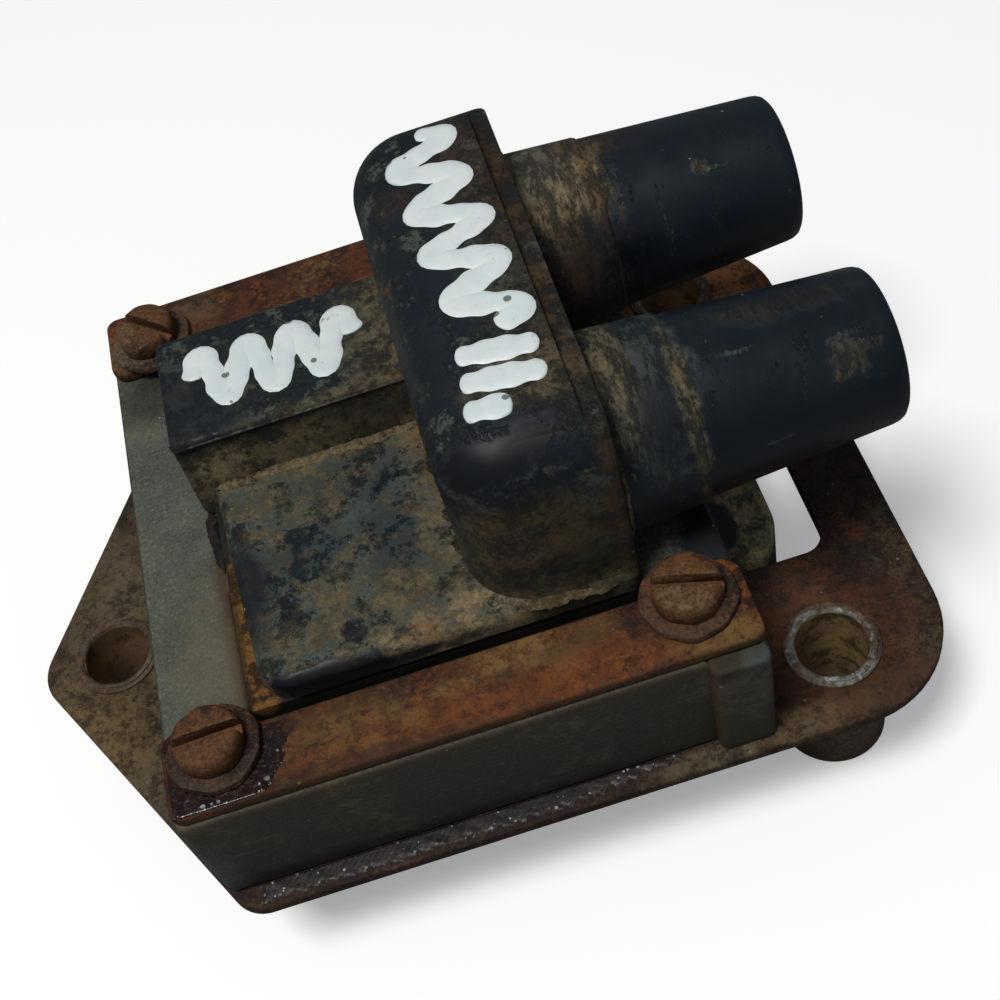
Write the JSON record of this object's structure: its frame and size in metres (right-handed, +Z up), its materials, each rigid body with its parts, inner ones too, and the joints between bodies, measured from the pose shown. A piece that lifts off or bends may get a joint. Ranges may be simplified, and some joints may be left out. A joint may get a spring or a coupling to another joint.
{
  "type": "ignition coil",
  "caption": "Wasted-spark ignition coil: laminated core clamped to a steel plate, black moulded housing with twin high-tension towers and a low-voltage socket.",
  "frame": {"origin": "Middle of the footprint in X and Y, on the plane of the three mounting sleeves' feet", "axes": "+X towards the mouths of the high-tension towers, +Y towards the side with the low-voltage socket, +Z up from the mounting surface"},
  "size_m": [0.1204, 0.088, 0.0719],
  "materials": {
    "plate_steel": "heavily rusted mild steel",
    "clamp_steel": "orange-brown rusted mild steel",
    "screw_steel": "rusted turned steel",
    "washer_steel": "rusted spring steel",
    "nut_steel": "dull zinc plate with rust",
    "sleeve_steel": "corroded zinc plate",
    "core_steel": "grey-green paint over laminated silicon steel",
    "shim_card": "plain insulating board",
    "housing_plastic": "black filled moulding, partly dusty",
    "bobbin_plastic": "amber moulding",
    "winding_copper": "enamelled copper wire",
    "resin": "dark cast resin",
    "terminal_brass": "bare brass"
  },
  "bodies": {
    "root": {"base_plate": "plate_steel", "mounting_sleeve_left": "sleeve_steel", "mounting_sleeve_front_right": "sleeve_steel", "mounting_sleeve_rear_right": "sleeve_steel", "core_e_stack": "core_steel", "core_i_bar": "core_steel", "core_gap_shim": "shim_card", "clamp_strip_front": "clamp_steel", "clamp_strip_rear": "clamp_steel", "screw_front_left": "screw_steel", "washer_front_left": "washer_steel", "nut_front_left": "nut_steel", "screw_front_right": "screw_steel", "washer_front_right": "washer_steel", "nut_front_right": "nut_steel", "screw_rear_left": "screw_steel", "washer_rear_left": "washer_steel", "nut_rear_left": "nut_steel", "screw_rear_right": "screw_steel", "washer_rear_right": "washer_steel", "nut_rear_right": "nut_steel", "coil_housing": "housing_plastic", "winding_bobbin": "bobbin_plastic", "primary_winding": "winding_copper", "secondary_winding": "winding_copper", "potting_resin": "resin", "tower_terminal_front": "terminal_brass", "tower_terminal_rear": "terminal_brass", "connector_blade_1": "terminal_brass", "connector_blade_2": "terminal_brass"}
  },
  "joints": []
}
